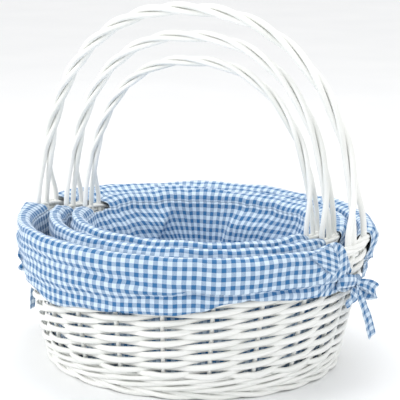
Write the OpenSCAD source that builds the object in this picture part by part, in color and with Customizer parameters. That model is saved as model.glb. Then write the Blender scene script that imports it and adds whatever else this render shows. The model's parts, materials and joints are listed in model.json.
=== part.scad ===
// Nested set of three oval willow baskets, each with a fixed hoop handle and a cloth liner.
// A list of three values is for the large, the medium and the small basket. Millimetres.
// X runs along the handles' span, -Y is the front, and Z = 0 is the table.

/* [Rims] */
// Length of each rim, to the middle of its wall on both sides
rim_length = [424, 350, 303]; // [290:1:440]
// Width of each rim, to the middle of its wall on both sides
rim_width = [368, 300, 250]; // [240:1:376]
// Height of the middle of each rim above the table
rim_height = [159, 161, 163]; // [150:1:170]
// How far each basket stands off the middle of the large one, along X
shift_x = [0, 4, 7.5]; // [0:0.5:8]

/* [Bases] */
// Length of each base, to the middle of its wall on both sides
base_length = [350, 286, 232]; // [220:1:360]
// Width of each base, to the middle of its wall on both sides
base_width = [322, 246, 184]; // [180:1:330]

/* [Willow] */
// Size of each basket's rods and cloth turns, against the large one's
gauge = [1, 0.9, 0.8]; // [0.75:0.05:1]
// Number of side stakes in each basket
stake_count = [22, 20, 18]; // [14:2:24]
// Diameter of the large basket's side stakes
stake_d = 5; // [4:0.5:6]
// Thickness of the large basket's woven side
weave_thick = 9; // [7:0.5:10]
// Height of the foot border that the large basket stands on
foot_tall = 10; // [9:0.5:12]
// Height of the large basket's upsett, the thick rods above its foot
upsett_tall = 16; // [10:1:20]
// Height of the large basket's rim border
rim_tall = 12; // [10:0.5:14]
// Thickness of the woven bases
base_thick = 7; // [6.5:0.5:8]

/* [Handles] */
// Height of the middle of each handle at its top
handle_top = [418, 387, 358]; // [340:1:430]
// How square the hoops are: 2 is an ellipse
hoop_power = 2.3; // [2:0.1:2.6]
// Diameter of one strand of the large handle
strand_d = 7.2; // [5:0.1:7.4]
// Turns of twist in each handle
handle_turns = [4, 3, 3]; // [2:1:6]
// How much tighter the twist is on the left than on the right
twist_ease = 0.28; // [0:0.02:0.5]
// How deep the strands' ends go into the wall
strand_depth = 90; // [60:5:110]
// Where a basket's three strands enter the left end of its rim, across the basket
large_left_feet = [-19.5, 0, 19.5]; // [-36:0.5:36]
medium_left_feet = [-17, 0, 17]; // [-30:0.5:30]
small_left_feet = [-15.5, 0, 15.5]; // [-26:0.5:26]
// Where they enter the right end
large_right_feet = [-19.5, -6, 33]; // [-36:0.5:36]
medium_right_feet = [-17, 0, 17]; // [-30:0.5:30]
small_right_feet = [-15.5, 0, 15.5]; // [-26:0.5:26]

/* [Liners] */
// Thickness of the cloth solids
cloth_thick = 2; // [1.5:0.1:2]
// Depth of each skirt below the middle of the rim
skirt_depth = [58, 52, 46]; // [40:1:64]
// How far the skirts stop short of the middle of each end, for the handle
skirt_gap = [24.5, 22, 20]; // [18:0.5:34]
// The same for the right end of each back skirt
back_right_gap = [38.5, 22, 20]; // [18:0.5:42]
// How far each bow's loops reach to either side
bow_reach = [27, 17, 16]; // [14:1:30]
// How far each bow's loops stand off the middle of the wall
bow_off = [15, 5.5, 4.3]; // [4.2:0.1:16]
// Thickness of each bow
bow_thick = [9, 7, 3.6]; // [3:0.5:10]
// Length of the longer tail of each bow
tail_length = [76, 50, 45]; // [30:1:90]

/* [Hidden] */
SIZES = ["large", "medium", "small"];
PIECES = [
    "base_sticks", "base_weave", "foot_border", "upsett", "side_stakes", "side_weave", "rim_border",
    "handle_strand_1", "handle_strand_2", "handle_strand_3",
    "liner_floor", "liner_side", "front_skirt", "back_skirt", "left_bow", "right_bow"];
NODES = [for (size = SIZES) for (piece = PIECES) str(size, "_", piece)];
node = "all";

willow = [0.93, 0.93, 0.9];
gingham = [0.55, 0.69, 0.88];
round_steps = 48;      // points round an oval
skirt_steps = 20;      // steps along half an oval
hoop_steps = 52;       // steps along a handle's hoop
leg_steps = 5;         // steps along a strand's end in the wall
strand_sides = 8;
strand_apart = 1.29;   // a strand's distance from the middle of the twist, against its radius
base_clear = 3;        // the woven base stands this far off what is under it
cloth_gap = 0.2;       // between a cloth and what it lies on
nest_gap = 0.6;        // between one basket's foot and the cloth under it
border_in = 5.5;       // the borders' inner side, from the middle of the wall
border_out = 6.5;      // the borders' outer side
liner_gap = 0.4;       // between the rim border and the cloth inside it
stick_size = [7, 2.8]; // width and thickness of a split base stick
knot_gap = [1.6, 0.4, 0.4];  // between a bow's knot and the wall
stick_gap = 0.4;       // between the long sticks and the short ones under them
stick_pitch = 34;      // distance between short sticks
long_pitch = 13;       // distance between long sticks
splay_low = 8;         // the strands start to draw together this far above the rim
splay_high = 70;       // and are fully twisted here

// Each basket stands on the cloth floor of the one round it.
nest_step = base_clear + base_thick + cloth_gap + cloth_thick + nest_gap;
foot_z = [0, nest_step, 2 * nest_step];

function rise(k, z) = (z - foot_z[k]) / (rim_height[k] - foot_z[k]);
function half_x(k, z) = (base_length[k] + (rim_length[k] - base_length[k]) * rise(k, z)) / 2;
function half_y(k, z) = (base_width[k] + (rim_width[k] - base_width[k]) * rise(k, z)) / 2;
function on_wall(k, angle, off, z) =
    [shift_x[k] + (half_x(k, z) + off) * cos(angle), (half_y(k, z) + off) * sin(angle), z];
function oval(a, b) = [for (i = [0 : round_steps - 1])
    [a * cos(360 * i / round_steps), b * sin(360 * i / round_steps)]];
function smooth(t) = let (c = min(1, max(0, t))) c * c * (3 - 2 * c);
function upsett_z(k) = foot_z[k] + foot_tall;
function weave_z(k) = upsett_z(k) + upsett_tall * gauge[k];
function rim_z(k) = rim_height[k] - rim_tall * gauge[k] / 2;

// A solid through a row of outlines with equally many points; closed joins the last to the first.
module skin(rings, closed = false) {
    m = len(rings);
    n = len(rings[0]);
    sides = [for (i = [0 : m - (closed ? 1 : 2)]) for (j = [0 : n - 1])
        let (a = i * n, b = ((i + 1) % m) * n, next = (j + 1) % n)
        each [[a + j, b + next, a + next], [a + j, b + j, b + next]]];
    caps = closed ? [] : [[for (j = [0 : n - 1]) j], [for (j = [n - 1 : -1 : 0]) (m - 1) * n + j]];
    polyhedron(points = [for (ring = rings) each ring], faces = concat(sides, caps));
}

// A section of [offset from the wall, height] points, carried all round basket k.
module round_wall(k, section) {
    skin([for (i = [0 : round_steps - 1])
        [for (p = section) on_wall(k, -360 * i / round_steps, p[0], p[1])]], closed = true);
}

module flat_oval(k, off, from, to) {
    translate([shift_x[k], 0, from])
        linear_extrude(to - from)
            polygon(oval(half_x(k, from) + off, half_y(k, from) + off));
}

module rod(from, to, d) {
    v = to - from;
    translate(from)
        rotate([0, acos(v[2] / norm(v)), atan2(v[1], v[0])])
            cylinder(h = norm(v), d = d, $fn = 24);
}

// Long split sticks lie across the short ones.
module base_sticks(k) {
    a = half_x(k, foot_z[k]) - border_in - 3;
    b = half_y(k, foot_z[k]) - border_in - 3;
    low = foot_z[k] + base_clear + stick_gap;
    high = low + stick_size[1] + stick_gap;
    short_side = floor(0.8 * a / stick_pitch);
    color(willow) {
        for (i = [-short_side : short_side]) {
            reach = b * sqrt(1 - pow((abs(i) * stick_pitch + stick_size[0] / 2) / a, 2));
            translate([shift_x[k] + i * stick_pitch - stick_size[0] / 2, -reach, low])
                cube([stick_size[0], 2 * reach, stick_size[1]]);
        }
        for (i = [-1.5 : 1.5]) {
            reach = a * sqrt(1 - pow((abs(i) * long_pitch + stick_size[0] / 2) / b, 2));
            translate([shift_x[k] - reach, i * long_pitch - stick_size[0] / 2, high])
                cube([2 * reach, stick_size[0], stick_size[1]]);
        }
    }
}

module base_weave(k) {
    from = foot_z[k] + base_clear;
    color(willow)
        translate([shift_x[k], 0, from])
            linear_extrude(base_thick)
                polygon(oval(half_x(k, foot_z[k]) - border_in - cloth_gap,
                             half_y(k, foot_z[k]) - border_in - cloth_gap));
}

module foot_border(k) {
    color(willow)
        difference() {
            flat_oval(k, border_out, foot_z[k], upsett_z(k));
            translate([0, 0, -1])
                flat_oval(k, -border_in + 0.01, foot_z[k], upsett_z(k) + 2);
        }
}

module upsett(k) {
    low = upsett_z(k);
    high = weave_z(k);
    color(willow)
        round_wall(k, [[-border_in, low], [border_out, low], [border_out * gauge[k], high],
                       [-border_in * gauge[k], high]]);
}

module side_stakes(k) {
    color(willow)
        for (i = [0 : stake_count[k] - 1]) {
            angle = 360 * (i + 0.5) / stake_count[k];
            rod(on_wall(k, angle, 0, foot_z[k] + 2), on_wall(k, angle, 0, rim_height[k]),
                stake_d * gauge[k]);
        }
}

module side_weave(k) {
    t = weave_thick * gauge[k] / 2;
    color(willow)
        round_wall(k, [[-t, weave_z(k)], [t, weave_z(k)], [t, rim_z(k)], [-t, rim_z(k)]]);
}

module rim_border(k) {
    g = gauge[k];
    low = rim_z(k);
    high = low + rim_tall * g;
    corner = rim_tall * g / 4;
    color(willow)
        round_wall(k, [
            [-border_in * g, low], [border_out * g, low], [border_out * g, high - corner],
            [border_out * g - corner, high], [corner - border_in * g, high],
            [-border_in * g, high - corner]]);
}

feet = [[large_left_feet, large_right_feet], [medium_left_feet, medium_right_feet],
        [small_left_feet, small_right_feet]];

// The middle line of a handle: up out of the wall, over the hoop and down into the wall again.
function hoop_line(k) =
    let (r = rim_height[k], tall = handle_top[k] - r, a = half_x(k, r), e = 2 / hoop_power)
    concat(
        [for (i = [leg_steps : -1 : 1]) let (z = r - strand_depth * i / leg_steps) [-half_x(k, z), 0, z]],
        [for (i = [0 : hoop_steps]) let (q = 180 * i / hoop_steps)
            [-a * sign(cos(q)) * pow(abs(cos(q)), e), 0, r + tall * pow(abs(sin(q)), e)]],
        [for (i = [1 : leg_steps]) let (z = r - strand_depth * i / leg_steps) [half_x(k, z), 0, z]]);
function lengths_along(line) = [for (i = 0, s = 0; i < len(line);
    s = s + norm(line[min(i + 1, len(line) - 1)] - line[i]), i = i + 1) s];

// One of the three strands: number is -1 or 1 for an outer leg, and 0 for the middle one.
module handle_strand(k, number) {
    line = hoop_line(k);
    s = lengths_along(line);
    last = len(line) - 1;
    radius = strand_d * gauge[k] / 2;
    twist_r = radius * strand_apart;
    first_twist = s[leg_steps] + splay_high;
    twist_length = s[last] - 2 * first_twist;
    color(willow)
        translate([shift_x[k], 0, 0])
            skin([for (i = [0 : last])
                let (v = line[min(i + 1, last)] - line[max(i - 1, 0)],
                     out = [-v[2], 0, v[0]] / norm(v),
                     across = [0, 1, 0],
                     part = min(1, max(0, (s[i] - first_twist) / twist_length)),
                     turned = part + twist_ease * part * (1 - part),
                     phase = 180 - 120 * number - 360 * handle_turns[k] * turned,
                     tight = smooth((line[i][2] - rim_height[k] - splay_low) / (splay_high - splay_low)),
                     foot = feet[k][line[i][0] < 0 ? 0 : 1][number + 1],
                     wide = half_y(k, min(line[i][2], rim_height[k])),
                     apart = (1 - tight) * foot * wide / half_y(k, rim_height[k]),
                     bend = sqrt(1 - pow(apart / wide, 2)),
                     middle = [line[i][0] * bend, apart, line[i][2]]
                            + tight * twist_r * (cos(phase) * out + sin(phase) * across))
                [for (j = [0 : strand_sides - 1]) let (q = -360 * j / strand_sides)
                    middle + radius * (cos(q) * out + sin(q) * across)]]);
}

module liner_floor(k) {
    from = upsett_z(k) + cloth_gap;
    off = -border_in - liner_gap;
    color(gingham)
        translate([shift_x[k], 0, from])
            linear_extrude(cloth_thick)
                polygon(oval(half_x(k, upsett_z(k)) + off, half_y(k, upsett_z(k)) + off));
}

module liner_side(k) {
    low = upsett_z(k) + 2 * cloth_gap + cloth_thick;
    high = rim_z(k) + rim_tall * gauge[k] + 1;
    out_low = -border_in - liner_gap;
    out_high = -border_in * gauge[k] - liner_gap;
    color(gingham)
        round_wall(k, [[out_low - cloth_thick, low], [out_low, low], [out_high, weave_z(k)],
                       [out_high, high], [out_high - cloth_thick, high],
                       [out_high - cloth_thick, weave_z(k)]]);
}

// The skirt's outer and inner side, from the seam inside the rim over the border to the hem.
function skirt_section(k) =
    let (g = gauge[k], r = rim_height[k], t = cloth_thick, top = rim_z(k) + rim_tall * g,
         d = skirt_depth[k], seam = -border_in * g - liner_gap, side = border_out * g)
    [[seam - t, top + 1.3], [0, top + 2 + t], [side + 1, top + 1 + t], [side + 3 + t, top - 5 * g],
     [side + 3.5 + t, r - 0.3 * d], [side + t, r - 0.72 * d], [side + 1.6 + t, r - 0.9 * d],
     [side + 0.8 + t, r - d], [side + 0.6, r - d], [side + 0.8, r - 0.72 * d],
     [side + 2.5, r - 0.3 * d], [side + 2, top - 5 * g], [side - 1, top + 0.9], [0, top + 2],
     [seam, top + 1.3]];

module skirt(k, from, first_gap, last_gap) {
    first = from + asin(first_gap / half_y(k, rim_height[k]));
    last = from + 180 - asin(last_gap / half_y(k, rim_height[k]));
    section = skirt_section(k);
    color(gingham)
        skin([for (i = [skirt_steps : -1 : 0])
            let (angle = first + (last - first) * i / skirt_steps)
            [for (j = [len(section) - 1 : -1 : 0]) on_wall(k, angle, section[j][0], section[j][1])]]);
}

module front_skirt(k) { skirt(k, 180, skirt_gap[k], skirt_gap[k]); }
module back_skirt(k) { skirt(k, 0, back_right_gap[k], skirt_gap[k]); }

// Loops, a knot and two tails, on side -1 or 1 of the basket. The large basket's bows hang
// straight down. The others lie along the wall, because another basket stands round them.
module bow(k, side) {
    z = rim_height[k] - 27 * gauge[k];
    reach = bow_reach[k];
    knot_off = weave_thick * gauge[k] / 2 + knot_gap[k];
    lean = k == 0 ? 0 : atan((half_x(k, z) - half_x(k, z - 50)) / 50);
    color(gingham)
        translate([shift_x[k], 0, 0])
            scale([side, 1, 1]) translate([half_x(k, z), 0, z]) rotate([0, lean, 0]) {
                translate([bow_off[k], 0, 0])
                    rotate([90, 0, 90])
                        linear_extrude(bow_thick[k]) {
                            for (way = [-1, 1])
                                translate([way * (reach / 2 + 1), -3])
                                    rotate(way * -18)
                                        polygon([for (q = [0 : 15 : 345])
                                            [(reach / 2 - 1) * cos(q), 6 * gauge[k] * sin(q)]]);
                            polygon([for (q = [0 : 30 : 330]) 5 * [cos(q), sin(q)]]);
                            polygon([[0, -2], [6, -2], [14, -tail_length[k]], [3, -tail_length[k]]]);
                            polygon([[-5, -2], [0, -2], [-7, -30], [-15, -26]]);
                        }
                translate([knot_off, -4, -4])
                    cube([bow_off[k] - knot_off + 1, 8, 8]);
            }
}

module left_bow(k) { bow(k, -1); }
module right_bow(k) { bow(k, 1); }

function wanted(k, piece) = node == "all" || node == str(SIZES[k], "_", piece);

for (k = [0 : len(SIZES) - 1]) {
    if (wanted(k, "base_sticks")) base_sticks(k);
    if (wanted(k, "base_weave")) base_weave(k);
    if (wanted(k, "foot_border")) foot_border(k);
    if (wanted(k, "upsett")) upsett(k);
    if (wanted(k, "side_stakes")) side_stakes(k);
    if (wanted(k, "side_weave")) side_weave(k);
    if (wanted(k, "rim_border")) rim_border(k);
    if (wanted(k, "handle_strand_1")) handle_strand(k, -1);
    if (wanted(k, "handle_strand_2")) handle_strand(k, 0);
    if (wanted(k, "handle_strand_3")) handle_strand(k, 1);
    if (wanted(k, "liner_floor")) liner_floor(k);
    if (wanted(k, "liner_side")) liner_side(k);
    if (wanted(k, "front_skirt")) front_skirt(k);
    if (wanted(k, "back_skirt")) back_skirt(k);
    if (wanted(k, "left_bow")) left_bow(k);
    if (wanted(k, "right_bow")) right_bow(k);
}
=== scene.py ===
# Three nested willow baskets with gingham liners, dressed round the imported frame. Metres.
import json
import math
import random
import bmesh
import bpy
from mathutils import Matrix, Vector, noise

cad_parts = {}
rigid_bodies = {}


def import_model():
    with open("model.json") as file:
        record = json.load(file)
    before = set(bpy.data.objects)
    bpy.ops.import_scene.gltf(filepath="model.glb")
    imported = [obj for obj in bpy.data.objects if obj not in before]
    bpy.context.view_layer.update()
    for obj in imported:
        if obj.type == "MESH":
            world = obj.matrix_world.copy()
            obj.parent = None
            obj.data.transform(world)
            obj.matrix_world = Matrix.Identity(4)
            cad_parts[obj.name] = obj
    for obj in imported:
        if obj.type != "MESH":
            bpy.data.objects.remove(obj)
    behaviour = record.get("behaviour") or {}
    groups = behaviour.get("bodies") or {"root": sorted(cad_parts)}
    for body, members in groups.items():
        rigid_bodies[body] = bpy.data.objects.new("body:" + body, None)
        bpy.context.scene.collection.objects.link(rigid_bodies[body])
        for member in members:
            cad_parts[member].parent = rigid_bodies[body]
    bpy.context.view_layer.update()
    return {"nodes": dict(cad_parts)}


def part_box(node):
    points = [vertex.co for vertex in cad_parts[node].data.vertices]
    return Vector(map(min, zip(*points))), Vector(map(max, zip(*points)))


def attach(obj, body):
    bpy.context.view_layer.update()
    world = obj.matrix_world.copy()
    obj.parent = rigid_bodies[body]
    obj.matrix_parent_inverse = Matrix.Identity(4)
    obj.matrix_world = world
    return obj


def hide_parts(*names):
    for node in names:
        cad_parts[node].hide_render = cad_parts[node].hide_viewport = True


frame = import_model()
scene = bpy.context.scene
print("frame loaded:", len(frame["nodes"]), "nodes")


# camera, light and floor

studio = {
    "lens": 120.15, "distance": 1.6, "azimuth": 28.5, "elevation": 13.0, "aim": (0.0115, 0, 0.191),
    "skyStrength": 0.98,
    # name: place, size, watts, warmth
    "lamps": {
        "windowLeft": ((-1.5, -1.3, 1.3), 1.3, 16, (1.0, 0.99, 0.97)),
        "screenRight": ((1.7, -1.0, 1.1), 1.6, 3, (0.95, 0.98, 1.0)),
        "overhead": ((0.0, 0.4, 1.9), 1.2, 11, (1.0, 1.0, 1.0)),
    },
    "floorColour": (0.95, 0.955, 0.96, 1), "floorShade": (0.88, 0.89, 0.9, 1), "floorReach": 6.0,
}


def towards(azimuth, elevation):
    a, e = math.radians(azimuth), math.radians(elevation)
    return Vector((math.sin(a) * math.cos(e), -math.cos(a) * math.cos(e), math.sin(e)))


aim = Vector(studio["aim"])
cameraData = bpy.data.cameras.new("camera")
cameraData.lens = studio["lens"]
cameraData.sensor_width = 36
camera = bpy.data.objects.new("camera", cameraData)
away = towards(studio["azimuth"], studio["elevation"])
camera.location = aim + away * studio["distance"]
camera.rotation_euler = away.to_track_quat("Z", "Y").to_euler()
scene.collection.objects.link(camera)
scene.camera = camera

for lampName, (place, size, watts, warmth) in studio["lamps"].items():
    lampData = bpy.data.lights.new(lampName, "AREA")
    lampData.shape = "DISK"
    lampData.size = size
    lampData.energy = watts
    lampData.color = warmth
    lamp = bpy.data.objects.new(lampName, lampData)
    lamp.location = place
    lamp.rotation_euler = (Vector(place) - aim).to_track_quat("Z", "Y").to_euler()
    scene.collection.objects.link(lamp)

sky = bpy.data.worlds.new("sky")
sky.use_nodes = True
sky.node_tree.nodes["Background"].inputs["Color"].default_value = (1, 1, 1, 1)
sky.node_tree.nodes["Background"].inputs["Strength"].default_value = studio["skyStrength"]
scene.world = sky
scene.view_settings.view_transform = "Standard"
print("studio set")


# materials

class Wire:
    # one output socket, which can be used in sums
    def __init__(self, nodes, socket=None):
        self.nodes = nodes
        self.socket = socket

    def node(self, kind, settings=None, inputs=None, out=0):
        made = self.nodes.new(kind)
        for name, value in (settings or {}).items():
            setattr(made, name, value)
        for name, value in (inputs or {}).items():
            if isinstance(value, Wire):
                self.nodes.id_data.links.new(value.socket, made.inputs[name])
            else:
                made.inputs[name].default_value = value
        return Wire(self.nodes, made.outputs[out])

    def maths(self, operation, *values):
        return self.node("ShaderNodeMath", {"operation": operation}, dict(enumerate(values)))

    def __add__(self, other):
        return self.maths("ADD", self, other)

    __radd__ = __add__

    def __sub__(self, other):
        return self.maths("SUBTRACT", self, other)

    def __rsub__(self, other):
        return self.maths("SUBTRACT", other, self)

    def __mul__(self, other):
        return self.maths("MULTIPLY", self, other)

    __rmul__ = __mul__

    def __truediv__(self, other):
        return self.maths("DIVIDE", self, other)

    def blend(self, low, high):
        # from colour low to colour high as this goes from 0 to 1
        return self.node("ShaderNodeMix", {"data_type": "RGBA"}, {0: self, 6: low, 7: high}, out=2)

    def between(self, low, high):
        # 0 below low, 1 above high, and a soft step from one to the other
        return self.node("ShaderNodeMapRange", {"interpolation_type": "SMOOTHSTEP"},
                         {0: self, 1: low, 2: high, 3: 0.0, 4: 1.0})

    def noise(self, scale, detail=2.0, rough=0.5):
        return self.node("ShaderNodeTexNoise", {}, {"Vector": self, "Scale": scale, "Detail": detail,
                                                    "Roughness": rough})

    def stretch(self, scale):
        return self.node("ShaderNodeMapping", {}, {"Vector": self, "Scale": scale})


def newMaterial(name, constants):
    made = bpy.data.materials.new(name)
    made.use_nodes = True
    nodes = made.node_tree.nodes
    shader = nodes["Principled BSDF"]
    for socket, value in constants.items():
        shader.inputs[socket].default_value = value
    return made, Wire(nodes), shader


def plug(shader, **wires):
    # BaseColor=wire joins the wire to Base Color
    for name, wire in wires.items():
        socket = "".join(" " + c if c.isupper() else c for c in name).strip()
        wire.nodes.id_data.links.new(wire.socket, shader.inputs[socket])


paintedWillow = {
    "coat": (0.90, 0.905, 0.885, 1), "thin": (0.80, 0.815, 0.785, 1), "bare": (0.58, 0.50, 0.37, 1),
    "shade": (0.66, 0.69, 0.655, 1), "roughness": 0.42, "gloss": 0.42, "streaks": 0.30, "wear": 0.55,
    # waves a metre along the rod and across it, detail, roughness
    "grain": (22, 420, 4.0, 0.6), "brushing": (9, 30, 2.0), "rubbedSpots": (30, 110, 3.0, 0.62),
    "rubbedRings": (14, 8, 1.0),
}


def willowMaterial(name, alongRod):
    # alongRod: the rods carry their own flat map; otherwise the pattern follows the height of the stakes
    p = paintedWillow
    made, start, shader = newMaterial(name, {"Specular IOR Level": p["gloss"], "Coat Roughness": 0.3})
    place = start.node("ShaderNodeTexCoord", out=2 if alongRod else 3)

    def drawn(length, width, detail, rough=0.5):
        # noise drawn out along the rod: so many waves a metre along it and across it
        return place.stretch((length, width, 1) if alongRod else (width, width, length)).noise(1.0, detail, rough)

    grain = drawn(*p["grain"])
    broad = drawn(*p["brushing"])
    spots = drawn(*p["rubbedSpots"])
    ring = drawn(*p["rubbedRings"])
    # brush marks and thin coats of paint, then a few rubbed places where the peeled rod shows
    painted = broad.between(0.30, 0.62).blend(p["thin"], p["coat"])
    streaked = (grain.between(0.52, 0.74) * p["streaks"]).blend(painted, p["shade"])
    worn = spots.between(0.70, 0.76) * ring.between(0.50, 0.64)
    colour = (worn * p["wear"]).blend(streaked, p["bare"])
    height = grain * 0.6 + broad * 0.4 - worn * 0.5
    bump = start.node("ShaderNodeBump", {}, {"Strength": 0.35, "Distance": 0.0006, "Height": height})
    plug(shader, BaseColor=colour, Roughness=p["roughness"] + grain * 0.22 + worn * 0.2,
         CoatWeight=0.16 - worn * 0.16, Normal=bump)
    return made


gingham = {
    "white": (0.63, 0.745, 0.86, 1), "blue": (0.034, 0.150, 0.345, 1), "period": 0.0100,
    "thread": 0.00042, "crumple": 46.0, "softEdge": 0.018,
    "woven": 0.38,        # how much of the colour shows single threads crossing
    "halfBlue": 0.16,     # how far the half-blue checks lean to the blue
}


def ginghamMaterial(name):
    p = gingham
    made, start, shader = newMaterial(name, {"Roughness": 0.86, "Specular IOR Level": 0.22,
                                             "Sheen Weight": 0.25, "Sheen Roughness": 0.45})
    flat = start.node("ShaderNodeTexCoord", out=2)
    corner = flat.node("ShaderNodeSeparateXYZ", {}, {0: flat})
    across, along = corner, Wire(corner.nodes, corner.socket.node.outputs[1])

    def stripe(place):
        # 1 on the blue half of each period, with a soft edge of a thread or so
        wave = place.maths("PINGPONG", place / p["period"], 0.5)
        return wave.between(0.25 - p["softEdge"], 0.25 + p["softEdge"])

    def thread(place):
        return place.maths("PINGPONG", place / p["thread"], 1.0)

    warp, weft = stripe(across), stripe(along)
    over = (thread(across) - 0.5) * (thread(along) - 0.5) * 4.0     # plain weave: which thread is on top
    upper = over.between(-0.5, 0.5)
    mixed = (warp + weft) * 0.5
    woven = upper * warp + (1 - upper) * weft
    tint = mixed * (1 - p["woven"]) + woven * p["woven"]
    washed = flat.noise(30.0, 3.0, 0.6)
    depth = (1 + p["halfBlue"] - tint * p["halfBlue"]) * tint
    colour = (depth * (0.93 + washed * 0.12)).blend(p["white"], p["blue"])
    ridges = (thread(across) + thread(along)) * 0.5
    crumple = flat.noise(p["crumple"], 3.0, 0.55)
    weaveBump = start.node("ShaderNodeBump", {}, {"Strength": 0.22, "Distance": 0.00018, "Height": ridges})
    bump = start.node("ShaderNodeBump", {}, {"Strength": 0.30, "Distance": 0.0035, "Height": crumple,
                                             "Normal": weaveBump})
    plug(shader, BaseColor=colour, Roughness=0.80 + washed * 0.14, Normal=bump)
    return made


willow = willowMaterial("painted willow rods", True)
willowStakes = willowMaterial("painted willow stakes", False)
ginghamCloth = ginghamMaterial("gingham cotton")

floorMaterial, floorStart, floorShader = newMaterial("studio floor", {"Specular IOR Level": 0.1})
floorPlace = floorStart.node("ShaderNodeTexCoord", out=3)
plug(floorShader, BaseColor=floorPlace.noise(3.0).blend(studio["floorColour"], studio["floorShade"]))

bm = bmesh.new()
bmesh.ops.create_circle(bm, cap_ends=True, segments=64, radius=studio["floorReach"])
floorMesh = bpy.data.meshes.new("floor")
bm.to_mesh(floorMesh)
bm.free()
floorMesh.materials.append(floorMaterial)
floor = bpy.data.objects.new("floor", floorMesh)
scene.collection.objects.link(floor)
print("materials made")


# the baskets' walls, measured on the frame

basketFacts = {
    "large": {"gauge": 1.0, "stakes": 22, "seed": 11},
    "medium": {"gauge": 0.9, "stakes": 20, "seed": 23},
    "small": {"gauge": 0.8, "stakes": 18, "seed": 37},
}
footOverhang = 0.0065     # the foot border stands this far out of the middle of the wall
weaveHalf = 0.0045        # half of the large basket's wall
turn = 2 * math.pi


def measureBasket(size):
    b = dict(basketFacts[size], size=size, body=size + "_basket")
    footLow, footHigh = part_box(size + "_foot_border")
    weaveLow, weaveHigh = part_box(size + "_side_weave")
    rimLow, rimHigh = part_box(size + "_rim_border")
    b["shift"] = (footLow.x + footHigh.x) / 2
    b["foot"] = footLow.z
    b["footTop"] = footHigh.z
    b["weaveLow"], b["weaveHigh"] = weaveLow.z, weaveHigh.z
    b["rim"], b["rimTop"] = (rimLow.z + rimHigh.z) / 2, rimHigh.z
    b["baseX"] = (footHigh.x - footLow.x) / 2 - footOverhang
    b["baseY"] = (footHigh.y - footLow.y) / 2 - footOverhang
    grown = weaveHigh.z - footLow.z
    b["leanX"] = ((weaveHigh.x - weaveLow.x) / 2 - weaveHalf * b["gauge"] - b["baseX"]) / grown
    b["leanY"] = ((weaveHigh.y - weaveLow.y) / 2 - weaveHalf * b["gauge"] - b["baseY"]) / grown
    b["random"] = random.Random(b["seed"])
    return b


def halfX(b, z):
    return b["baseX"] + b["leanX"] * (z - b["foot"])


def halfY(b, z):
    return b["baseY"] + b["leanY"] * (z - b["foot"])


def onWall(b, angle, off, z):
    # off is how far outside the middle of the wall; angle 0 is the right-hand handle, in radians
    return Vector((b["shift"] + (halfX(b, z) + off) * math.cos(angle), (halfY(b, z) + off) * math.sin(angle), z))


def outward(b, angle, z):
    return Vector((math.cos(angle) * halfY(b, z), math.sin(angle) * halfX(b, z), 0)).normalized()


def ramp(value, low, high):
    part = min(1.0, max(0.0, (value - low) / (high - low)))
    return part * part * (3 - 2 * part)


def softCurve(points, count):
    # a smooth line through the points, as count + 1 evenly spaced ones, and its length
    points = [Vector(p) for p in points]
    points = [points[0] * 2 - points[1]] + points + [points[-1] * 2 - points[-2]]
    fine = []
    for a, b, c, d in zip(points, points[1:], points[2:], points[3:]):
        for k in range(12):
            t = k / 12
            fine.append(0.5 * (2 * b + (c - a) * t + (2 * a - 5 * b + 4 * c - d) * t * t
                               + (3 * b - a - 3 * c + d) * t * t * t))
    fine.append(points[-2])
    run = [0.0]
    for a, b in zip(fine, fine[1:]):
        run.append(run[-1] + (b - a).length)
    spaced, k = [], 0
    for i in range(count + 1):
        want = run[-1] * i / count
        while k < len(run) - 2 and run[k + 1] < want:
            k += 1
        gap = run[k + 1] - run[k]
        spaced.append(fine[k].lerp(fine[k + 1], (want - run[k]) / gap if gap > 1e-12 else 0))
    return spaced, run[-1]


# mesh tools

def addGrid(bm, columns, rows, place, flatten):
    # a grid of cells with corner (i, j) at place(i, j), and at flatten(i, j) on the flat cloth or bark
    flatMap = bm.loops.layers.uv.verify()
    made = bmesh.ops.create_grid(bm, x_segments=columns, y_segments=rows, size=1)
    spots = {}
    for corner in made["verts"]:
        i = round((corner.co.x + 1) / 2 * columns)
        j = round((corner.co.y + 1) / 2 * rows)
        spots[corner] = (i, j)
        corner.co = place(i, j)
    faces = {face for corner in made["verts"] for face in corner.link_faces}
    for face in faces:
        face.smooth = True
        for loop in face.loops:
            loop[flatMap].uv = flatten(*spots[loop.vert])
    return made["verts"], faces


def addRod(bm, stations, sides, runStart=0.0):
    # stations: (middle, half size one way, half size the other way); the first and last may be the same
    run = [runStart]
    for a, b in zip(stations, stations[1:]):
        run.append(run[-1] + (b[0] - a[0]).length)
    girth = turn * stations[len(stations) // 2][2].length
    circle = [(math.cos(turn * j / sides), math.sin(turn * j / sides)) for j in range(sides)]

    def place(i, j):
        middle, one, other = stations[i]
        c, s = circle[j % sides]
        return middle + one * c + other * s

    corners, faces = addGrid(bm, len(stations) - 1, sides, place, lambda i, j: (run[i], girth * j / sides))
    bmesh.ops.remove_doubles(bm, verts=corners, dist=1e-7)
    bmesh.ops.recalc_face_normals(bm, faces=[face for face in faces if face.is_valid])


def roundEnds(stations, size):
    # adds a short dome to both ends of a rod
    def dome(end, inner):
        middle, one, other = end
        way = (middle - inner[0]).normalized() * size
        return [(middle + way * reach, one * part, other * part) for reach, part in ((1.0, 0), (0.8, 0.6))]

    return dome(stations[0], stations[1]) + stations + dome(stations[-1], stations[-2])[::-1]


def finishPiece(name, bm, b, material, replaced):
    mesh = bpy.data.meshes.new(name)
    bm.to_mesh(mesh)
    bm.free()
    mesh.materials.append(material)
    piece = bpy.data.objects.new(name, mesh)
    scene.collection.objects.link(piece)
    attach(piece, b["body"])
    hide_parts(*[b["size"] + "_" + node for node in replaced])
    return piece


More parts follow.
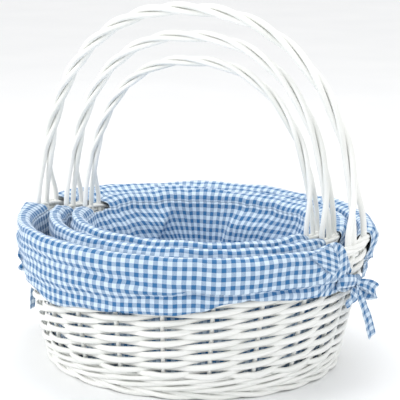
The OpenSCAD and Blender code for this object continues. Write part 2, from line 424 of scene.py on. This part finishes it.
def thicken(piece, thickness, smooth=0):
    if smooth:
        soft = piece.modifiers.new("soften", "SUBSURF")
        soft.levels = soft.render_levels = smooth
    wall = piece.modifiers.new("cloth", "SOLIDIFY")
    wall.thickness = thickness
    wall.offset = 0


# willow: base, foot, walls, rim

baseFacts = {"rise": 0.0065, "ringStep": 0.0054, "rodHalf": 0.0024, "wave": 0.0013, "inset": 0.0085,
             "middleGap": 0.010, "stepsPerStake": 5, "sides": 6, "shortPitch": 0.034, "longPitch": 0.013,
             "stickWide": 0.007, "stickThick": 0.0028, "stickRound": 0.0011}


def makeBase(b):
    f = baseFacts
    rng = b["random"]
    bm = bmesh.new()
    a, c = halfX(b, b["foot"]) - f["inset"], halfY(b, b["foot"]) - f["inset"]
    steps = b["stakes"] * f["stepsPerStake"]
    ring = 0
    while c - ring * f["ringStep"] > f["middleGap"]:
        stations = []
        for i in range(steps + 1):
            angle = turn * i / steps
            wave = math.sin(b["stakes"] / 2 * angle + ring * math.pi)
            way = Vector((math.cos(angle), math.sin(angle), 0))
            half = f["rodHalf"] * (1 + 0.14 * noise.noise(Vector((3 * way.x, 3 * way.y, ring))))
            middle = Vector((b["shift"] + (a - ring * f["ringStep"]) * way.x, (c - ring * f["ringStep"]) * way.y,
                             b["foot"] + f["rise"] + f["wave"] * wave))
            stations.append((middle, way * half, Vector((0, 0, half * 0.9))))
        stations[-1] = stations[0]
        addRod(bm, stations, f["sides"], rng.random())
        ring += 1
    finishPiece(b["size"] + "BaseWeaving", bm, b, willow, ["base_weave"])
    # split sticks across the base, each rounded over
    bm = bmesh.new()
    low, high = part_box(b["size"] + "_base_sticks")
    reachX, reachY = (high.x - low.x) / 2, (high.y - low.y) / 2
    shortCount = int(0.8 * reachX / f["shortPitch"])
    sticks = []     # middle, width, depth
    for i in range(-shortCount, shortCount + 1):
        x = i * f["shortPitch"]
        sticks.append((b["shift"] + x, 0, low.z + f["stickThick"] / 2, f["stickWide"],
                       2 * reachY * math.sqrt(1 - (x / reachX) ** 2)))
    for i in (-1.5, -0.5, 0.5, 1.5):
        y = i * f["longPitch"]
        sticks.append((b["shift"], y, high.z - f["stickThick"] / 2,
                       2 * reachX * math.sqrt(1 - (y / reachY) ** 2), f["stickWide"]))
    flatMap = bm.loops.layers.uv.verify()
    for x, y, z, wide, deep in sticks:
        made = bmesh.ops.create_cube(bm, size=1)
        bmesh.ops.scale(bm, vec=(wide, deep, f["stickThick"]), verts=made["verts"])
        bmesh.ops.translate(bm, vec=(x, y, z), verts=made["verts"])
    bmesh.ops.bevel(bm, geom=list(bm.edges), offset=f["stickRound"], offset_type="OFFSET", segments=3, profile=0.5,
                    affect="EDGES", material=-1)
    for face in bm.faces:
        face.smooth = True
        for loop in face.loops:
            x, y, z = loop.vert.co
            loop[flatMap].uv = (x + y, y - x + z)
    finishPiece(b["size"] + "BaseSticks", bm, b, willow, ["base_sticks"])


# early: steps that a rod runs on before its first stake and past its last
# the three heights are for rows of the pitch given, where a rod crosses, passes in front and passes behind
sideFacts = {"rows": 20, "stepsPerStake": 12, "early": 7, "middle": 0.0010, "wave": 0.0044, "thick": 0.0021,
             "pitch": 0.00635, "tall": 0.0034, "frontTall": 0.0039, "backTall": 0.0023, "sides": 8}


def makeSideWeaving(b):
    # each rod starts at its own stake, then goes behind one and in front of the next, a row higher each time
    f = sideFacts
    rng = b["random"]
    g = b["gauge"]
    bm = bmesh.new()
    pitch = (b["weaveHigh"] - b["weaveLow"]) / f["rows"]
    for rod in range(b["stakes"]):
        stations = []
        lean = rng.uniform(-1, 1)
        for i in range(-f["early"], (f["rows"] - 1) * f["stepsPerStake"] + f["early"] + 1):
            passed = i / f["stepsPerStake"]
            angle = turn * (rod + 0.5 + passed) / b["stakes"]
            swing = math.cos(math.pi * passed)
            swing = math.copysign(abs(swing) ** 0.85, swing)
            level = min(max(passed, 0), f["rows"] - 1)
            spot = Vector((2.2 * math.cos(angle), 2.2 * math.sin(angle),
                           (level - passed + rod) * 3.7 + level * 0.3 + b["seed"]))
            size = 1 + 0.16 * noise.noise(spot * 1.7)
            z = b["weaveLow"] + pitch * (level + 0.5 + 0.20 * noise.noise(spot * 2.3) + 0.07 * lean)
            middle = onWall(b, angle, (f["middle"] + f["wave"] * swing) * g, z)
            if swing > 0:
                tall = f["tall"] + (f["frontTall"] - f["tall"]) * swing * swing
            else:
                tall = f["tall"] + (f["backTall"] - f["tall"]) * ramp(-swing, 0.55, 1.0)
            tall *= size * pitch / f["pitch"]
            stations.append((middle, outward(b, angle, z) * f["thick"] * g * (0.9 + 0.1 * size),
                             Vector((0, 0, tall))))
        addRod(bm, roundEnds(stations, 0.002), f["sides"], rng.random() * 3)
    finishPiece(b["size"] + "SideWeaving", bm, b, willow, ["side_weave"])
    stakeMaterials = frame["nodes"][b["size"] + "_side_stakes"].data.materials
    stakeMaterials.clear()
    stakeMaterials.append(willowStakes)


upsettFacts = {"rounds": 2, "stepsPerStake": 8, "swing": 0.0038, "climb": 0.0030, "thick": 0.0023, "tall": 0.0027,
               "sides": 8}


def makeUpsett(b):
    # two rounds of three rods twisted round the stakes
    f = upsettFacts
    bm = bmesh.new()
    steps = b["stakes"] * f["stepsPerStake"]
    step = (b["weaveLow"] - b["footTop"]) / f["rounds"]
    turns = round(b["stakes"] / 3)
    for layer in range(f["rounds"]):
        for rod in range(3):
            stations = []
            for i in range(steps + 1):
                angle = turn * (i % steps) / steps
                phase = turns * angle + turn * rod / 3 + layer * 1.9
                size = 1 + 0.12 * noise.noise(Vector((3 * math.cos(angle), 3 * math.sin(angle),
                                                      rod + 7 * layer)))
                z = b["footTop"] + step * (layer + 0.5) + f["climb"] * math.sin(phase) * step / 0.008
                middle = onWall(b, angle, 0.0009 + f["swing"] * math.cos(phase), z)
                stations.append((middle, outward(b, angle, z) * f["thick"] * size,
                                 Vector((0, 0, f["tall"] * size))))
            addRod(bm, stations, f["sides"], b["random"].random() * 3)
    finishPiece(b["size"] + "Upsett", bm, b, willow, ["upsett"])


# how each stake's end runs on: (stakes along, offset, height), in millimetres
footFacts = {"path": [(-0.2, -2.0, 9.0), (0.25, 0.5, 8.2), (0.7, 3.4, 5.6), (1.1, 4.2, 3.6), (1.45, 3.0, 3.3),
                      (1.9, 0.2, 4.4), (2.5, -2.2, 5.8)], "half": 0.0031, "steps": 26, "sides": 8}
rimFacts = {"path": [(-0.25, -2.6, -5.5), (-0.02, -3.2, -0.5), (0.35, -2.4, 2.9), (0.85, 0.9, 3.5),
                     (1.35, 3.9, 2.5), (1.9, 4.3, 0.2), (2.5, 4.2, -2.4), (3.1, 3.2, -3.9), (3.45, 1.8, -4.4)],
            "half": 0.0026, "steps": 40, "sides": 8}


def makeBorder(b, name, facts, level, gauge, node):
    bm = bmesh.new()
    run, _ = softCurve([(stakes * 10, off, z) for stakes, off, z in facts["path"]], facts["steps"])
    for rod in range(b["stakes"]):
        wobble = b["random"].uniform(-0.5, 0.5)
        size = facts["half"] * gauge * b["random"].uniform(0.92, 1.06)
        middles, stations = [], []
        for along, off, height in run:
            angle = turn * (rod + 0.5 + along / 10) / b["stakes"]
            middles.append(onWall(b, angle, off * gauge / 1000, level + (height + wobble * 0.3) * gauge / 1000))
        for k, middle in enumerate(middles):
            way = (middles[min(k + 1, len(middles) - 1)] - middles[max(k - 1, 0)]).normalized()
            out = Vector((middle.x - b["shift"], middle.y, 0)).normalized()
            out = (out - way * out.dot(way)).normalized()
            stations.append((middle, out * size, way.cross(out) * size))
        addRod(bm, roundEnds(stations, size * 0.45), facts["sides"], b["random"].random() * 3)
    finishPiece(b["size"] + name, bm, b, willow, [node])


handleFacts = {
    "top": {"large": 0.418, "medium": 0.387, "small": 0.358}, "turns": {"large": 4, "medium": 3, "small": 3},
    "ease": 0.28, "power": 2.3, "strand": 0.0036, "apart": 1.29, "depth": 0.090, "splayLow": 0.008,
    # where the three rods enter the rim at the left and the right end
    "feet": {"large": ((-0.0195, 0, 0.0195), (-0.0195, -0.006, 0.033)),
             "medium": ((-0.017, 0, 0.017), (-0.017, 0, 0.017)),
             "small": ((-0.0155, 0, 0.0155), (-0.0155, 0, 0.0155))},
    "splayHigh": 0.070, "hoopSteps": 150, "legSteps": 10, "lineSteps": 220, "point": 0.32, "sides": 14,
}


def makeHandle(b):
    # three rods side by side in the wall, twisted together over the hoop
    f = handleFacts
    rim, tall = b["rim"], f["top"][b["size"]] - b["rim"]
    e = 2 / f["power"]
    line = [Vector((-halfX(b, rim - f["depth"] * i / f["legSteps"]), 0, rim - f["depth"] * i / f["legSteps"]))
            for i in range(f["legSteps"], 0, -1)]
    for i in range(f["hoopSteps"] + 1):
        c, s = math.cos(math.pi * i / f["hoopSteps"]), math.sin(math.pi * i / f["hoopSteps"])
        line.append(Vector((-halfX(b, rim) * math.copysign(abs(c) ** e, c), 0, rim + tall * abs(s) ** e)))
    line += [Vector((-p.x, 0, p.z)) for p in reversed(line[:f["legSteps"]])]
    # the first steps of the hoop are long, so the line is spaced evenly again
    count = f["lineSteps"]
    line, length = softCurve(line[::2] + line[-1:], count)
    step = length / count
    hoopStart = next(i for i, p in enumerate(line) if p.z > rim) * step
    firstTwist = hoopStart + f["splayHigh"]
    twistLength = length - 2 * firstTwist
    half = f["strand"] * b["gauge"]
    side = Vector((0, 1, 0))
    for number in (-1, 0, 1):
        stations = []
        for i, p in enumerate(line):
            way = (line[min(i + 1, count)] - line[max(i - 1, 0)]).normalized()
            out = Vector((-way.z, 0, way.x))
            part = min(1, max(0, (i * step - firstTwist) / twistLength))
            turned = part + f["ease"] * part * (1 - part)
            phase = math.pi - turn / 3 * number - turn * f["turns"][b["size"]] * turned
            tight = ramp(p.z, rim + f["splayLow"], rim + f["splayHigh"])
            foot = f["feet"][b["size"]][0 if p.x < 0 else 1][number + 1]
            wide = halfY(b, min(p.z, rim))
            apart = (1 - tight) * foot * wide / halfY(b, rim)
            middle = Vector((p.x * math.sqrt(1 - (apart / wide) ** 2), apart, p.z))
            middle += tight * half * f["apart"] * (math.cos(phase) * out + math.sin(phase) * side)
            middle.x += b["shift"]
            slyped = f["point"] + (1 - f["point"]) * ramp(p.z, rim - f["depth"], rim - 0.012)    # cut to a point
            size = half * slyped * (1 + 0.05 * noise.noise(Vector((i * 0.09, number * 5, b["seed"]))))
            stations.append((middle, out * size, side * size))
        bm = bmesh.new()
        addRod(bm, roundEnds(stations, half * 0.3), f["sides"], b["random"].random() * 3)
        finishPiece(f"{b['size']}HandleStrand{number + 2}", bm, b, willow, [f"handle_strand_{number + 2}"])


baskets = {size: measureBasket(size) for size in basketFacts}
for b in baskets.values():
    makeBase(b)
    makeSideWeaving(b)
    makeUpsett(b)
    makeBorder(b, "FootBorder", footFacts, b["foot"], 1.0, "foot_border")
    makeBorder(b, "RimBorder", rimFacts, b["rim"], b["gauge"], "rim_border")
    makeHandle(b)
    print(b["size"], "willow woven")


# cloth: cup, skirts, bows

cupFacts = {
    "gap": 0.0012, "columns": 320, "rows": 44, "thickness": 0.0007, "fullness": 1.04,
    "fold": {"large": 0.003, "medium": 0.003, "small": 0.014},
    # folds inside the cup: angle, width after and before it, strength, how far it slants with height
    "creases": ((2.20, 0.55, 0.05, 1.1, 5.0), (1.50, 0.05, 0.45, 0.9, 3.0), (2.95, 0.35, 0.30, 1.0, 0.0),
                (0.35, 0.22, 0.06, 0.6, 1.0), (3.75, 0.25, 0.06, 0.8, -1.0), (4.7, 0.30, 0.08, 0.4, 0.0),
                (5.6, 0.25, 0.06, 0.5, 0.0)),
    # where the cloth hangs askew: angle, width, lean
    "askew": ((2.62, 0.42, 5.0), (1.05, 0.42, -3.5), (3.9, 0.4, -3.0)),
    # how far the rolled top hangs inwards: all round, and more at the left end
    "roll": {"large": (0.0040, 0.0090), "medium": (0.0032, 0.0050), "small": (0.0040, 0.0060)},
    # the large cup sags where the right-hand handle comes through: degrees round, how far, fades over
    "sagAt": 357, "sag": 0.013, "sagFades": (10.0, 20.0),
    "panelColumns": 96, "panelRows": 30, "panelInset": 0.004,
    "panelLift": {"large": 0.0004, "medium": 0.0004, "small": 0.0022},
}


def cupFace(b):
    # how far inside the middle of the wall the cup hangs
    return -0.0055 * b["gauge"] - 0.0004 - cupFacts["gap"]


def crest(b, angle):
    # the seam where the skirts leave the cup and the rolled top turns inwards: (offset, height, roll)
    leftEnd = max(0.0, -math.cos(angle + 0.25)) ** 4
    spot = Vector((2.6 * math.cos(angle), 2.6 * math.sin(angle), b["seed"] * 0.7))
    even, more = cupFacts["roll"][b["size"]]
    roll = even * (0.75 + 0.6 * noise.noise(spot * 2.2)) + more * leftEnd
    lift = 0.0022 * noise.noise(spot * 3.1) + 0.0012 * noise.noise(spot * 7.3)
    if b["size"] == "large":
        away = abs((math.degrees(angle) - cupFacts["sagAt"] + 180) % 360 - 180)
        lift -= cupFacts["sag"] * (1 - ramp(away, *cupFacts["sagFades"]))
    return cupFace(b) - roll, b["rimTop"] - 0.006 + lift, roll


def pleats(b, angle, z):
    # how far the hanging cloth stands in from the wall: soft hollows and a few sharp folds
    c, s = math.cos(angle), math.sin(angle)
    spot = Vector((2.4 * c, 2.4 * s, z * 7 + b["seed"]))
    sag = 0.45 * max(0, noise.noise(spot) + 0.35) + 0.25 * noise.noise(spot * 2.6)
    creased = 0.0
    for at, wide, narrow, high, slant in cupFacts["creases"]:
        away = (angle + (z - b["rimTop"]) * slant - at + math.pi) % turn - math.pi
        reach = wide if away > 0 else narrow
        creased += high * (max(0.0, 1 - abs(away) / reach) if reach > 0.1 else math.exp(-(away / reach) ** 2))
    return sag + creased


def makeCup(b):
    f = cupFacts
    floorLow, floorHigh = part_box(b["size"] + "_liner_floor")
    low, top = floorLow.z + 0.001, b["rimTop"]
    inner = cupFace(b)
    around = turn * (halfX(b, b["rim"]) + halfY(b, b["rim"])) / 2 * f["fullness"]
    fold = f["fold"][b["size"]]
    profiles = []
    for i in range(f["columns"]):
        off, height, roll = crest(b, turn * i / f["columns"])
        profiles.append(softCurve([
            (-0.0240, low, 0), (-0.0120, low + 0.0012, 0), (-0.0085, low + 0.006, 0), (-0.0078, low + 0.020, 0),
            (inner - 0.001, b["weaveLow"] + 0.022, 0), (inner - 0.0015 - roll * 0.2, top - 0.050, 0),
            (inner - roll * 0.85, top - 0.022, 0), (off, height, 0)], f["rows"]))
    tall = max(length for _, length in profiles)

    def place(i, j):
        angle = turn * (i % f["columns"]) / f["columns"]
        off, z, _ = profiles[i % f["columns"]][0][j]
        # the cups that hold another basket stay smooth where its foot swings
        start = low if b["size"] == "small" else low + 0.045
        level = ramp(z, start, start + 0.035) * (1 - ramp(z, top - 0.034, top - 0.008))
        for at, wide, lean in f["askew"]:
            away = (angle - at + math.pi) % turn - math.pi
            angle += lean * min(0.0, z - top + 0.012) * math.exp(-(away / wide) ** 2) * fold / 0.014
        return onWall(b, angle, off - level * fold * pleats(b, angle, z), z)

    bm = bmesh.new()
    corners, _ = addGrid(bm, f["columns"], f["rows"], place,
                         lambda i, j: (around * i / f["columns"], tall * j / f["rows"] - tall))
    bmesh.ops.remove_doubles(bm, verts=corners, dist=1e-6)
    side = finishPiece(b["size"] + "LinerSide", bm, b, ginghamCloth, ["liner_side"])
    thicken(side, f["thickness"])
    b["size"] + "_rim_border"

    # the bottom panel, sewn to the side
    reach = (floorHigh - floorLow).xy / 2 - Vector((f["panelInset"], f["panelInset"]))
    lift = f["panelLift"][b["size"]]

    def panelPlace(i, j):
        angle = turn * (i % f["panelColumns"]) / f["panelColumns"]
        part = 1 - 0.985 * j / f["panelRows"]
        x, y = reach.x * part * math.cos(angle), reach.y * part * math.sin(angle)
        bump = noise.noise(Vector((x * 22, y * 22, b["seed"]))) + 0.5
        return Vector((b["shift"] + x, y, floorLow.z + 0.0006 + lift * max(0, bump)))

    bm = bmesh.new()
    corners, _ = addGrid(bm, f["panelColumns"], f["panelRows"], panelPlace,
                         lambda i, j: tuple(panelPlace(i, j).xy))
    bmesh.ops.remove_doubles(bm, verts=corners, dist=1e-6)
    bmesh.ops.holes_fill(bm, edges=[edge for edge in bm.edges if edge.is_boundary
                                    and (edge.verts[0].co.xy - Vector((b["shift"], 0))).length < 0.01])
    bmesh.ops.recalc_face_normals(bm, faces=bm.faces)
    panel = finishPiece(b["size"] + "LinerFloor", bm, b, ginghamCloth, ["liner_floor"])
    thicken(panel, f["thickness"])
    b["size"] + "_base_weave"


skirtFacts = {
    "depth": {"large": 0.058, "medium": 0.052, "small": 0.046}, "columns": 320, "rows": 48,
    # gaps for the handles: front left, front right, back right, back left
    "gaps": {"large": (0.0245, 0.0245, 0.0385, 0.0245), "medium": (0.022, 0.022, 0.022, 0.022),
             "small": (0.020, 0.020, 0.020, 0.020)},
    "thickness": 0.0008, "fullness": 1.05, "fold": 0.0030, "gather": 0.0015, "ruck": 0.0010,
    "standOff": 0.0065,       # the outer face of the rim
    "endWidth": 0.030, "bunchWidth": 0.090, "rise": 0.009, "tuck": 0.0062, "hug": 0.85,
    # the large front skirt is drawn up unevenly by its string: degrees round, height in millimetres
    "hem": [(180, 108), (200, 104), (222, 99), (247, 94), (258, 97), (266, 99), (274, 102), (283, 103), (290, 106),
            (298, 111), (306, 118), (314, 122), (323, 119), (332, 117), (342, 116), (354, 117)],
    "casing": [(180, 126), (200, 120), (225, 115), (250, 113), (270, 118), (285, 125), (298, 131), (314, 130),
               (335, 130), (354, 132)],
    "valley": [(205, 158), (225, 152), (250, 147), (272, 142), (290, 136), (300, 132)],
}


# the folded corner's four points: degrees round, offset and height in millimetres
cornerFacts = {"corners": [(330.5, 13.0, 169), (338.5, 11.5, 177.5), (350, 11.0, 139), (341, 16.0, 141)],
               "swell": 2.0, "steps": 14, "cut": 0.036}


def along(table, angle):
    # reads a table of (degrees, millimetres), in metres
    degrees = math.degrees(angle)
    for (a, low), (c, high) in zip(table, table[1:]):
        if degrees <= c:
            return (low + (high - low) * ramp(degrees, a, c)) / 1000
    return table[-1][1] / 1000


def makeSkirt(b, way):
    # way -1 is the front one, 1 the back one
    f = skirtFacts
    g, rim, top, deep = b["gauge"], b["rim"], b["rimTop"], f["depth"][b["size"]]
    side = f["standOff"] * g
    gaps = f["gaps"][b["size"]]
    startGap, endGap = (gaps[0], gaps[1]) if way < 0 else (gaps[2], gaps[3])
    first = (math.pi if way < 0 else 0) + math.asin(startGap / halfY(b, rim))
    span = (2 * math.pi if way < 0 else math.pi) - math.asin(endGap / halfY(b, rim)) - first
    arc = span * (halfX(b, rim) + halfY(b, rim)) / 2 * f["fullness"]
    knot = rim - 0.027 * g
    drawn = b["size"] == "large" and way < 0
    profiles, facts = [], []
    for i in range(f["columns"] + 1):
        s = i / f["columns"]
        angle = first + span * s
        fromEnd = min(s, 1 - s) * arc
        end = 1 - ramp(fromEnd, 0.0, f["endWidth"])       # 1 at the handles
        bunch = 1 - ramp(fromEnd, 0.0, f["bunchWidth"])
        tight = end if way > 0 else 0.0                   # the back skirts lie close to the rim where they end
        if drawn:
            casing, hem = along(f["casing"], angle), along(f["hem"], angle)
        else:
            casing = rim - 0.74 * deep
            casing += (knot - casing) * 0.72 * bunch
            hem = rim - deep + 0.010 * bunch
        hem += 0.0012 * math.sin(s * 19 + b["seed"]) + 0.0010 * noise.noise(Vector((s * 40, 3, b["seed"])))
        puff = 0.0024 * noise.noise(Vector((s * 9, way, b["seed"])))
        pull = ramp(casing, rim - 0.045, rim - 0.028) if drawn else 0.4 * bunch
        off, height, roll = crest(b, angle)
        rise = f["rise"] * ramp(s * arc, arc - 0.060, arc - 0.026) if drawn else 0.0
        # at the left end the skirt lies closer to the wall
        tuck = f["tuck"] * g * max(0.0, -math.cos(angle - 0.25)) ** 3
        # from the seam up over the rim, out, down to the string and on to the hem
        points = [
            (off, height, 0),
            (off + 0.16 * roll, height + 0.0045 + rise * 0.5, 0),
            (off + 0.6 * roll + 0.0012, height + 0.0090 + rise * 0.9, 0),
            (0.0005, top + 0.0052 + puff + rise, 0),
            (side + 0.001 - 0.5 * tuck, top + 0.0040 + puff + rise * 0.9, 0),
            (side + 0.0053 + puff - tuck - 0.0028 * tight, top - 0.0025 + rise * 0.4, 0),
            (side + 0.0072 + puff - 0.003 * end - tuck - 0.0030 * tight, rim - 0.10 * deep, 0),
            (side + 0.0074 + 0.0026 * pull + puff - 0.005 * end - 0.9 * tuck - 0.0020 * tight,
             rim - 0.030 * (1 - 0.25 * pull) * g, 0),
            (side + 0.0058 + 0.0030 * pull - 0.004 * end - 0.6 * tuck, casing + 0.0065 - 0.003 * pull, 0),
            (side + 0.0028 - 0.0012 * pull, casing, 0),
            (side + 0.0032, casing - 0.0035, 0),
            (side + 0.0042 - 0.2 * tuck, (casing + hem) / 2 - 0.001, 0),
            (side + 0.0040 + 0.0016 * math.sin(s * 43 + way) - 0.3 * tuck, hem, 0),
        ]
        # where a skirt ends it is drawn down onto the rim
        hug = f["hug"] * (1 - ramp(fromEnd, 0.002, 0.018)) * (0.0 if drawn and s > 0.5 else 1.0)
        limits = [(1.0, 1.0), (1.0, top + 0.0008), (1.0, top + 0.0008), (1.0, top + 0.0016),
                  (side - 0.001, top + 0.0004), (side + 0.0012, top - 0.0045)] + [(side + 0.0016, 1.0)] * 7
        points = [(x + (min(x, limit[0]) - x) * hug, z + (min(z, limit[1]) - z) * hug, 0)
                  for (x, z, _), limit in zip(points, limits)]
        profile, fall = softCurve(points, f["rows"] * 2)
        # the front corner by the right-hand handle is cut away on a slant, under the turned-up corner
        toEnd = (1 - s) * arc
        cut = 0.25 * (1 - ramp(toEnd, 0.038, 0.044)) + 0.50 * (1 - min(1.0, toEnd / 0.040)) if drawn else 0.0
        profiles.append(profile)
        facts.append((fall, casing, bunch, cut))

    def spotOn(i, j):
        s = i / f["columns"]
        fall, casing, bunch, cut = facts[i]
        part = cut + (1 - cut) * j / f["rows"]
        k = min(int(part * f["rows"] * 2), f["rows"] * 2 - 1)
        profile = profiles[i]
        off, z, _ = profile[k].lerp(profile[k + 1], part * f["rows"] * 2 - k)
        ahead, behind = profile[k + 1], profile[max(k - 1, 0)]
        normal = Vector((-(ahead.y - behind.y), ahead.x - behind.x)).normalized()
        angle = first + span * s
        run = s * arc
        down = fall * part
        wrapped = ramp(down, 0.010, 0.028)
        # long soft folds that run along the skirt
        lazy = noise.noise(Vector((run * 8 + 3 * way, down * 58 + run * 6, b["seed"] * 1.7)))
        lazy += 0.75 * noise.noise(Vector((run * 24, down * 100 - run * 11, b["seed"] + 9)))
        if drawn:
            # one deep fold across the front
            fromValley = (z - along(f["valley"], angle)) / 0.0042
            lazy -= 1.1 * math.exp(-fromValley ** 2) * ramp(angle, 3.6, 3.9) * (1 - ramp(angle, 5.1, 5.3))
        # gathers on the drawstring, deepest next to the bows
        near = math.exp(-((z - casing) / 0.011) ** 2)
        crimp = math.sin(run * 560 + 6 * noise.noise(Vector((run * 30, 2, way))))
        crimp *= (0.55 + 0.9 * noise.noise(Vector((run * 34, z * 60, way)))) * near * (0.40 + 1.7 * bunch)
        seamed = ramp(down, 0.0, 0.010)
        ruck = noise.noise(Vector((run * 70, down * 55, 31 + b["seed"]))) * (0.5 + 1.2 * bunch)
        push = f["fold"] * g * lazy * wrapped + f["gather"] * g * crimp + f["ruck"] * ruck * seamed
        p = onWall(b, angle, off, z) + outward(b, angle, z) * (normal.x * push)
        p.z += normal.y * push
        return p, (arc * s, -down)

    bm = bmesh.new()
    addGrid(bm, f["columns"], f["rows"], lambda i, j: spotOn(i, j)[0], lambda i, j: spotOn(i, j)[1])
    if drawn:
        # the skirt's corner, folded back over it on the bias
        one, two, three, four = [Vector(spot) for spot in cornerFacts["corners"]]
        steps = cornerFacts["steps"]
        bias = math.sqrt(0.5) * cornerFacts["cut"] / steps

        def fold(i, j):
            u, v = i / steps, j / steps
            degrees, off, z = one.lerp(two, u).lerp(four.lerp(three, u), v)
            swell = 16 * u * (1 - u) * v * (1 - v)
            off += cornerFacts["swell"] * swell + 0.6 * noise.noise(Vector((u * 3, v * 3, 5)))
            return onWall(b, math.radians(degrees), off / 1000, z / 1000)

        addGrid(bm, steps, steps, fold, lambda i, j: (bias * (i + j) + 0.004, bias * (j - i)))
    name = b["size"] + ("FrontSkirt" if way < 0 else "BackSkirt")
    skirt = finishPiece(name, bm, b, ginghamCloth, ["front_skirt" if way < 0 else "back_skirt"])
    thicken(skirt, f["thickness"])
    b["size"] + "_rim_border"


def ribbon(bm, points, widths, upright, steps=30, across=6, roll=0.0):
    # a strip of cloth along the points; upright is roughly the way its width lies
    line, length = softCurve(points, steps)
    widthLine, _ = softCurve([(k * 0.01, w, 0) for k, w in enumerate(widths)], steps)
    shift = len(bm.verts) * 0.0031

    def place(i, j):
        ahead, behind = line[min(i + 1, steps)], line[max(i - 1, 0)]
        way = (ahead - behind).normalized()
        wide = (Vector(upright) - way * Vector(upright).dot(way)).normalized()
        face = way.cross(wide)
        w = widthLine[i].y
        part = j / across - 0.5
        curl = roll * (part * part * 4 - 0.5) + 0.12 * noise.noise(Vector((i * 0.25, part * 3, shift)))
        return line[i] + wide * w * part + face * w * curl

    addGrid(bm, steps, across, place, lambda i, j: (shift + length * i / steps, max(widths) * j / across))
    return length


bowFacts = {
    "width": 0.0140, "thickness": 0.0008,
    "flatThickness": 0.0005, "flatWidth": 0.72, "flatSwell": 0.35,     # the smaller baskets' bows are pressed flat
    # places in millimetres along the wall, outwards and up: the knot from the middle of the rim, then from the
    # knot each loop's tip, with how far the loop swells outwards, and each tail
    "large_right": {"knot": (-4, 12, -41), "loops": [((-44, 5, 11), 9), ((28, 16, -17), 8)],
                    "tails": [[(-8, 4, -6), (-18, 6, -13), (-27, 4, -19)],
                              [(4, 5, -17), (12, 11, -42), (22, 15, -69)]]},
    "large_left": {"knot": (-8, 14, -28), "loops": [((-30, 12, -44), 7), ((24, 8, -14), 6)],
                   "tails": [[(-12, 3, -40), (-16, 4, -76), (-18, 4, -104)],
                             [(10, 4, -20), (16, 5, -40), (18, 3, -58)]]},
    "medium": {"knot": (0, 6.5, -24), "loops": [((-15, 0, -1), 3), ((15, 0, -1), 3)],
               "tails": [[(-3, 0, -12), (-8, 0, -24), (-10, 0, -32)], [(3, 0, -16), (7, 0, -32), (9, 0, -46)]]},
    "small": {"knot": (0, 5.0, -22), "loops": [((-13, 0, -1), 2), ((13, 0, -1), 2)],
              "tails": [[(-3, 0, -10), (-7, 0, -20), (-9, 0, -28)], [(3, 0, -14), (6, 0, -28), (8, 0, -40)]]},
}


def makeBow(b, end):
    # end 1 is the right-hand bow, -1 the left-hand one
    f = bowFacts
    name = "right" if end > 0 else "left"
    facts = f.get(b["size"] + "_" + name) or f[b["size"]]
    flatBow = b["size"] != "large"
    width = f["width"] * (f["flatWidth"] * b["gauge"] if flatBow else 1.0)
    rim = b["rim"]

    def spot(along, out, up):
        # along is towards the back on both sides; the smaller baskets' bows follow the leaning wall
        z = rim + up / 1000
        y = along / 1000
        lean = halfX(b, z) if flatBow else halfX(b, rim + facts["knot"][2] / 1000)
        x = lean * math.sqrt(max(0.0, 1 - (y / halfY(b, z)) ** 2)) + out / 1000
        return Vector((b["shift"] + end * x, y, z))

    bm = bmesh.new()
    ka, ko, ku = facts["knot"]
    thick = f["flatSwell"] if flatBow else 1.0
    total = 0.0
    for (la, lo, lu), swell in facts["loops"]:
        # out along the front, round the end and back behind
        points = [spot(ka, ko, ku),
                  spot(ka + la * 0.35, ko + lo * 0.35 + swell * 0.6 * thick, ku + lu * 0.35 + 2.5 * thick),
                  spot(ka + la * 0.78, ko + lo * 0.8 + swell * 0.5 * thick, ku + lu * 0.8 + 2 * thick),
                  spot(ka + la, ko + lo, ku + lu),
                  spot(ka + la * 0.80, ko + lo * 0.75 - 2.0 * thick, ku + lu * 0.85 - 4 * thick),
                  spot(ka + la * 0.35, ko + lo * 0.3 - 1.5 * thick, ku + lu * 0.4 - 3.5 * thick),
                  spot(ka, ko - 0.8 * thick, ku - 1)]
        total += ribbon(bm, points, [width * 0.55, width * 0.95, width * 1.1, width, width * 0.95, width * 0.55],
                        (0.1 * end, 0.25, 1), 44, 6, 0.16 * thick)
    for tail in facts["tails"]:
        points = [spot(ka, ko, ku)] + [spot(ka + a, ko + o, ku + u) for a, o, u in tail]
        total += ribbon(bm, points, [width * 0.5, width * 0.8, width * 0.95, width], (0.25 * end, 1, 0.1), 30, 6,
                        0.10 * thick)
    # the knot: the strip wrapped once round the middle
    ring = []
    for k in range(9):
        q = turn * k / 8
        ring.append(spot(ka + math.sin(q), ko + (3.6 * thick + 0.4) * math.cos(q),
                         ku + 6.2 * (0.6 + 0.4 * thick) * math.sin(q)))
    total += ribbon(bm, ring, [width * 0.8, width * 0.92, width * 0.8], (0, 1, 0.15), 30, 6, -0.2 * thick)
    bow = finishPiece(b["size"] + name.capitalize() + "Bow", bm, b, ginghamCloth, [name + "_bow"])
    thicken(bow, f["flatThickness"] if flatBow else f["thickness"], 1)
    b["size"] + "FrontSkirt"


for b in baskets.values():
    makeCup(b)
    makeSkirt(b, -1)
    makeSkirt(b, 1)
    makeBow(b, 1)
    makeBow(b, -1)
    print(b["size"], "liner sewn")

triangles = 0
for piece in scene.objects:
    if piece.type == "MESH" and not piece.hide_render:
        triangles += sum(len(face.vertices) - 2 for face in piece.data.polygons)
print("triangles before modifiers:", triangles)
